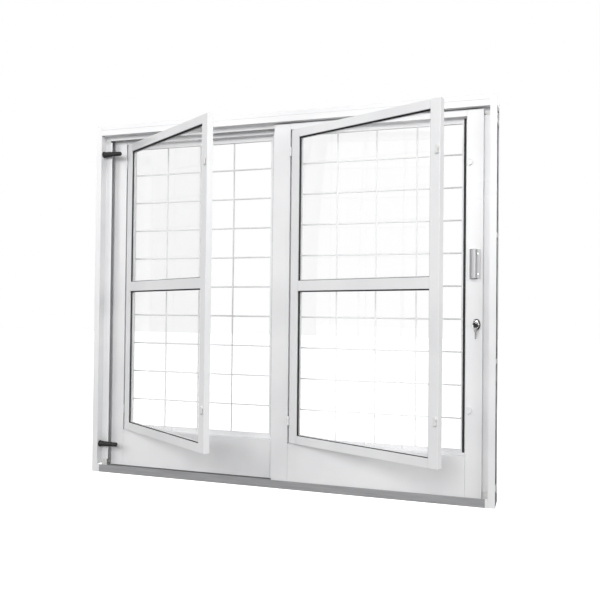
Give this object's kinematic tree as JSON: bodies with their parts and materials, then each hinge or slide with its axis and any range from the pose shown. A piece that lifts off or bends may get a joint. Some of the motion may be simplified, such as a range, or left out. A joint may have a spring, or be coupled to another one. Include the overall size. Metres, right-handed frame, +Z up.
{
  "type": "sliding window with casement leaves and grille",
  "caption": "White aluminium window: a fixed and a sliding panel, each with a welded rod grille and a side-hung glazed leaf that stands open; pull handle, key lock and rubber stops.",
  "frame": {"origin": "middle of the sill's underside, which rests on the wall opening", "axes": "+X to the right seen from the leaf side, +Y from the leaf side into the wall, +Z up"},
  "size_m": [1.356, 0.3426, 1.2],
  "materials": {
    "white_coat": "smooth white powder coat on extruded aluminium",
    "sill_coat": "white powder coat on the sill, a little duller",
    "black_rubber": "matt black rubber",
    "glass": "clear 4 mm float glass",
    "satin_metal": "satin natural metal",
    "bright_metal": "nickel plated brass",
    "white_nylon": "moulded white nylon"
  },
  "bodies": {
    "frame": {"left_jamb": "white_coat", "right_jamb": "white_coat", "header": "white_coat", "sill": "sill_coat", "upper_bumper": "black_rubber", "lower_bumper": "black_rubber", "lock_strike": "satin_metal", "fixed_jamb_stile": "white_coat", "fixed_meeting_stile": "white_coat", "fixed_top_rail": "white_coat", "fixed_bottom_rail": "white_coat", "fixed_grille": "white_coat", "fixed_leaf_seal": "black_rubber", "fixed_upper_keeper": "white_coat", "fixed_lower_keeper": "white_coat", "fixed_upper_hinge_pin": "white_coat", "fixed_lower_hinge_pin": "white_coat"},
    "sliding_panel": {"sliding_meeting_stile": "white_coat", "sliding_jamb_stile": "white_coat", "sliding_top_rail": "white_coat", "sliding_bottom_rail": "white_coat", "sliding_grille": "white_coat", "sliding_leaf_seal": "black_rubber", "sliding_upper_keeper": "white_coat", "sliding_lower_keeper": "white_coat", "sliding_upper_hinge_pin": "white_coat", "sliding_lower_hinge_pin": "white_coat", "pull_handle": "satin_metal", "lock_cylinder": "bright_metal"},
    "left_leaf": {"left_leaf_hinge_stile": "white_coat", "left_leaf_free_stile": "white_coat", "left_leaf_top_rail": "white_coat", "left_leaf_mid_rail": "white_coat", "left_leaf_bottom_rail": "white_coat", "left_leaf_upper_gasket": "black_rubber", "left_leaf_upper_glass": "glass", "left_leaf_lower_gasket": "black_rubber", "left_leaf_lower_glass": "glass", "left_leaf_upper_hinge_knuckle": "white_coat", "left_leaf_lower_hinge_knuckle": "white_coat"},
    "right_leaf": {"right_leaf_hinge_stile": "white_coat", "right_leaf_free_stile": "white_coat", "right_leaf_top_rail": "white_coat", "right_leaf_mid_rail": "white_coat", "right_leaf_bottom_rail": "white_coat", "right_leaf_upper_gasket": "black_rubber", "right_leaf_upper_glass": "glass", "right_leaf_lower_gasket": "black_rubber", "right_leaf_lower_glass": "glass", "right_leaf_upper_hinge_knuckle": "white_coat", "right_leaf_lower_hinge_knuckle": "white_coat"},
    "left_leaf_upper_catch": {"left_leaf_upper_catch": "white_nylon"},
    "left_leaf_lower_catch": {"left_leaf_lower_catch": "white_nylon"},
    "right_leaf_upper_catch": {"right_leaf_upper_catch": "white_nylon"},
    "right_leaf_lower_catch": {"right_leaf_lower_catch": "white_nylon"},
    "lock_bolt": {"lock_bolt": "satin_metal"},
    "key": {"key": "bright_metal"},
    "spare_key": {"spare_key": "bright_metal"},
    "left_roller": {"left_roller": "white_nylon"},
    "right_roller": {"right_roller": "white_nylon"}
  },
  "joints": [
    {"name": "panel_slide", "type": "slide", "parent": "frame", "child": "sliding_panel", "axis": [-1, 0, 0], "range_m": [0, 0.46]},
    {"name": "left_leaf_hinge", "type": "hinge", "parent": "frame", "child": "left_leaf", "pos_m": [-0.589, 0.006, 0.643], "axis": [0, 0, -1], "range_deg": [-33.5, 54.5]},
    {"name": "right_leaf_hinge", "type": "hinge", "parent": "sliding_panel", "child": "right_leaf", "pos_m": [0.039, -0.035, 0.643], "axis": [0, 0, -1], "range_deg": [-24, 76]},
    {"name": "left_leaf_upper_catch_turn", "type": "hinge", "parent": "left_leaf", "child": "left_leaf_upper_catch", "pos_m": [-0.13566, -0.28926, 1.009], "axis": [-0.5519, -0.8339, 0], "range_deg": [0, 90]},
    {"name": "left_leaf_lower_catch_turn", "type": "hinge", "parent": "left_leaf", "child": "left_leaf_lower_catch", "pos_m": [-0.13566, -0.28926, 0.277], "axis": [-0.5519, -0.8339, 0], "range_deg": [0, 90]},
    {"name": "right_leaf_upper_catch_turn", "type": "hinge", "parent": "right_leaf", "child": "right_leaf_upper_catch", "pos_m": [0.53485, -0.25139, 1.009], "axis": [-0.4067, -0.9135, 0], "range_deg": [0, 90]},
    {"name": "right_leaf_lower_catch_turn", "type": "hinge", "parent": "right_leaf", "child": "right_leaf_lower_catch", "pos_m": [0.53485, -0.25139, 0.277], "axis": [-0.4067, -0.9135, 0], "range_deg": [0, 90]},
    {"name": "key_turn", "type": "hinge", "parent": "sliding_panel", "child": "key", "pos_m": [0.622, -0.031, 0.537], "axis": [0, 1, 0], "range_deg": [0, 360]},
    {"name": "bolt_throw", "type": "slide", "parent": "sliding_panel", "child": "lock_bolt", "axis": [1, 0, 0], "range_m": [0, 0.0141]},
    {"name": "spare_key_swing", "type": "hinge", "parent": "key", "child": "spare_key", "pos_m": [0.622, -0.057, 0.537], "axis": [1, 0, 0], "range_deg": [-60, 18]},
    {"name": "left_roller_turn", "type": "hinge", "parent": "sliding_panel", "child": "left_roller", "pos_m": [0.1, -0.016, 0.0303], "axis": [0, 1, 0], "range_deg": [-2200, 0]},
    {"name": "right_roller_turn", "type": "hinge", "parent": "sliding_panel", "child": "right_roller", "pos_m": [0.52, -0.016, 0.0303], "axis": [0, 1, 0], "range_deg": [-2200, 0]}
  ],
  "couplings": [
    {"joint": "bolt_throw", "follows": "key_turn", "m_per_rad": 0.0022282},
    {"joint": "left_roller_turn", "follows": "panel_slide", "rad_per_m": -83.333},
    {"joint": "right_roller_turn", "follows": "panel_slide", "rad_per_m": -83.333}
  ]
}
